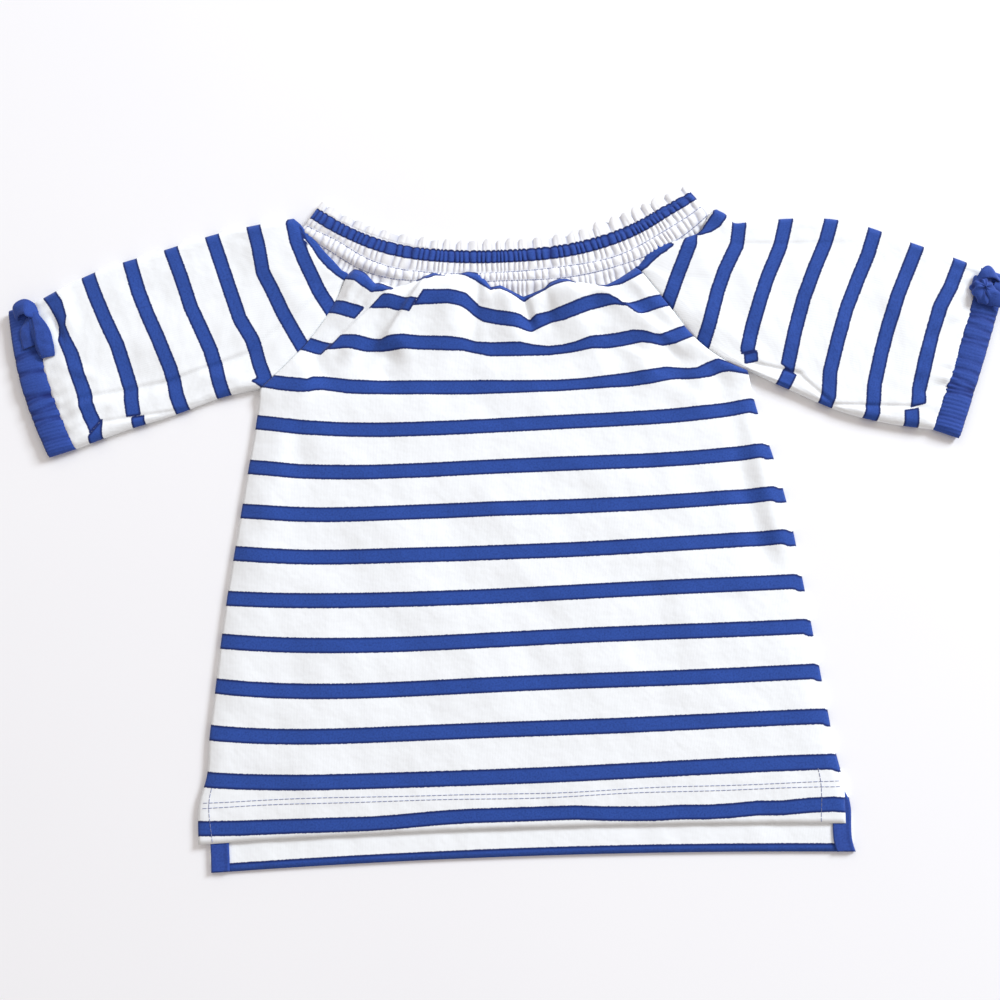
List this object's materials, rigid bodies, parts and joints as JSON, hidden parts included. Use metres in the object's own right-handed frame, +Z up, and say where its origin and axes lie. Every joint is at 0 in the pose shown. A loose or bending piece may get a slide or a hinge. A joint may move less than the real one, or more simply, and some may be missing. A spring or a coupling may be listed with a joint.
{
  "type": "off-the-shoulder jersey top",
  "caption": "Child's striped off-the-shoulder top laid flat, with a shirred frilled neck, short raglan sleeves, elastic cuffs with bows and a stepped hem.",
  "frame": {"origin": "middle of the garment's outline, on the surface that it lies on", "axes": "+X across the body to the picture's right, +Y towards the neck, +Z up from the surface"},
  "size_m": [0.621, 0.4062, 0.0133],
  "materials": {
    "jersey": "matte knitted cotton, white with navy stripes",
    "shirring": "matte knitted cotton drawn up on elastic, white with a navy stripe",
    "trim": "matte navy knitted cotton",
    "tape": "matte navy cotton tape"
  },
  "bodies": {
    "root": {"front_panel": "jersey", "back_panel": "jersey", "left_sleeve": "jersey", "right_sleeve": "jersey", "neck_band": "shirring", "left_cuff": "trim", "right_cuff": "trim", "left_bow": "trim", "right_bow": "trim", "left_vent_tape": "tape", "right_vent_tape": "tape"}
  },
  "joints": []
}
